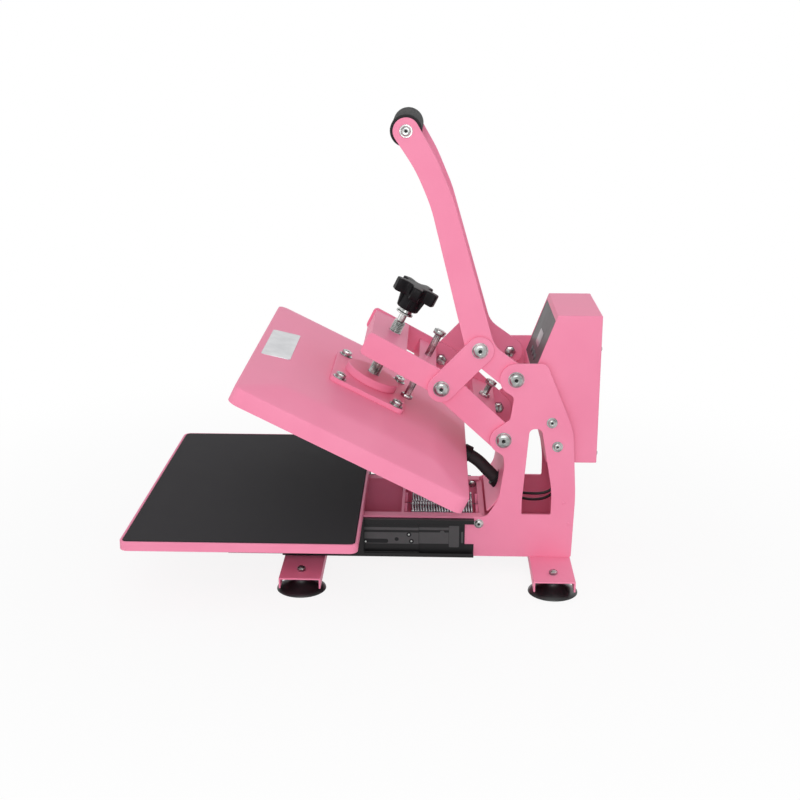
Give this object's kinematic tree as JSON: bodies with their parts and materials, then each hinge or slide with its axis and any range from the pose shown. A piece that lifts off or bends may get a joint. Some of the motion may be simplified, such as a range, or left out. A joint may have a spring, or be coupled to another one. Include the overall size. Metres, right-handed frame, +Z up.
{
  "type": "clamshell heat press",
  "caption": "Clamshell heat press with a toggle handle, a pull-out lower platen, a pressure knob and a rear control box.",
  "frame": {"origin": "on the surface that it stands on, below the middle of its box, with the head open and the drawer pulled out", "axes": "+X to the operator's right, +Y away from the operator, +Z up"},
  "size_m": [0.626, 0.807, 0.8068],
  "materials": {
    "pink_paint": "satin powder coat, pink",
    "black_paint": "satin black",
    "zinc": "bright zinc plating",
    "spring_steel": "drawn steel wire",
    "aluminium": "machined and cast aluminium",
    "silicone": "matt dark grey silicone",
    "foot_rubber": "black rubber",
    "grip_foam": "soft black foam",
    "black_plastic": "black plastic",
    "knob_plastic": "glossy black plastic",
    "panel_plastic": "dark panel film",
    "display_glass": "dark display window",
    "button_plastic": "grey buttons",
    "board_plastic": "green circuit board",
    "cable_sleeve": "black braided sleeve",
    "insulation_wool": "mineral insulation",
    "lead_plastic": "black cable sheath"
  },
  "bodies": {
    "base": {"base_pan": "pink_paint", "side_plate_right": "pink_paint", "side_plate_left": "pink_paint", "front_web": "pink_paint", "rear_panel": "pink_paint", "column_gland": "black_plastic", "front_leg": "pink_paint", "rear_leg": "pink_paint", "feet": "foot_rubber", "slides_fixed": "black_paint", "base_fasteners": "zinc", "base_pivot_bolts": "zinc", "spring_anchor": "pink_paint", "spring_right": "spring_steel", "spring_left": "spring_steel", "control_box": "pink_paint", "control_panel": "panel_plastic", "display_window": "display_glass", "circuit_board": "board_plastic", "power_inlet": "black_plastic", "switch_bezel": "black_plastic", "control_leads": "lead_plastic", "head_cable": "cable_sleeve"},
    "button_1": {"button_1": "button_plastic"},
    "button_2": {"button_2": "button_plastic"},
    "button_3": {"button_3": "button_plastic"},
    "power_switch": {"power_switch": "black_plastic"},
    "drawer": {"tray": "pink_paint", "tray_board": "aluminium", "silicone_pad": "silicone", "tray_brackets": "black_paint", "tray_screws": "zinc", "slide_inners": "black_paint"},
    "slide_middles": {"slide_middles": "black_paint"},
    "arm": {"arm_plate_right": "pink_paint", "arm_plate_left": "pink_paint", "screw_block": "pink_paint", "arm_crossbars": "pink_paint", "stop_bolt": "zinc", "spring_lever_bar": "pink_paint", "toggle_bolts": "zinc"},
    "links": {"link_right": "pink_paint", "link_left": "pink_paint", "crank_bolts": "zinc"},
    "handle": {"handle_plate_right": "pink_paint", "handle_plate_left": "pink_paint", "grip": "grip_foam", "handle_fasteners": "zinc"},
    "head": {"head_cover": "pink_paint", "heating_platen": "aluminium", "insulation": "insulation_wool", "mounting_plate": "pink_paint", "thrust_ring": "pink_paint", "mounting_bolts": "zinc", "guide_bolt": "zinc", "head_gland": "black_plastic", "blank_plate": "aluminium"},
    "knob": {"knob": "knob_plastic", "pressure_screw": "zinc"}
  },
  "joints": [
    {"name": "head_hinge", "type": "hinge", "parent": "base", "child": "arm", "pos_m": [0, 0.2358, 0.251], "axis": [1, 0, 0], "range_deg": [0, 26.53], "stiffness_Nm_per_rad": 60, "springref_deg": -77.35, "deforming": ["spring_right", "spring_left", "head_cable"]},
    {"name": "handle_hinge", "type": "hinge", "parent": "base", "child": "handle", "pos_m": [0, 0.255, 0.3604], "axis": [1, 0, 0], "range_deg": [0, 64.45]},
    {"name": "link_hinge", "type": "hinge", "parent": "arm", "child": "links", "pos_m": [0, 0.126, 0.343], "axis": [1, 0, 0], "range_deg": [-46.92, 0]},
    {"name": "pressure_slide", "type": "slide", "parent": "arm", "child": "head", "axis": [0, -0.4467, -0.8947], "range_m": [0, 0.0282], "deforming": ["head_cable"]},
    {"name": "knob_turn", "type": "hinge", "parent": "head", "child": "knob", "pos_m": [0, 0.014, 0.36173], "axis": [0, -0.4467, -0.8947], "range_deg": [0, 3386]},
    {"name": "drawer_slide", "type": "slide", "parent": "base", "child": "drawer", "axis": [0, 1, 0], "range_m": [0, 0.195]},
    {"name": "slide_middle_slide", "type": "slide", "parent": "base", "child": "slide_middles", "axis": [0, 1, 0], "range_m": [0, 0.0976]},
    {"name": "button_1_press", "type": "slide", "parent": "base", "child": "button_1", "axis": [0, 0.9365, -0.3507], "range_m": [0, 0.0012], "stiffness_N_per_m": 400, "springref_m": -0.001},
    {"name": "button_2_press", "type": "slide", "parent": "base", "child": "button_2", "axis": [0, 0.9365, -0.3507], "range_m": [0, 0.0012], "stiffness_N_per_m": 400, "springref_m": -0.001},
    {"name": "button_3_press", "type": "slide", "parent": "base", "child": "button_3", "axis": [0, 0.9365, -0.3507], "range_m": [0, 0.0012], "stiffness_N_per_m": 400, "springref_m": -0.001},
    {"name": "power_switch_rock", "type": "hinge", "parent": "base", "child": "power_switch", "pos_m": [0.045, 0.4005, 0.245], "axis": [1, 0, 0], "range_deg": [-10, 10]}
  ],
  "couplings": [
    {"joint": "handle_hinge", "follows": "head_hinge", "ratio": 2.4291},
    {"joint": "link_hinge", "follows": "head_hinge", "ratio": -1.7682},
    {"joint": "knob_turn", "follows": "pressure_slide", "rad_per_m": 2094.4},
    {"joint": "slide_middle_slide", "follows": "drawer_slide", "ratio": 0.5}
  ]
}
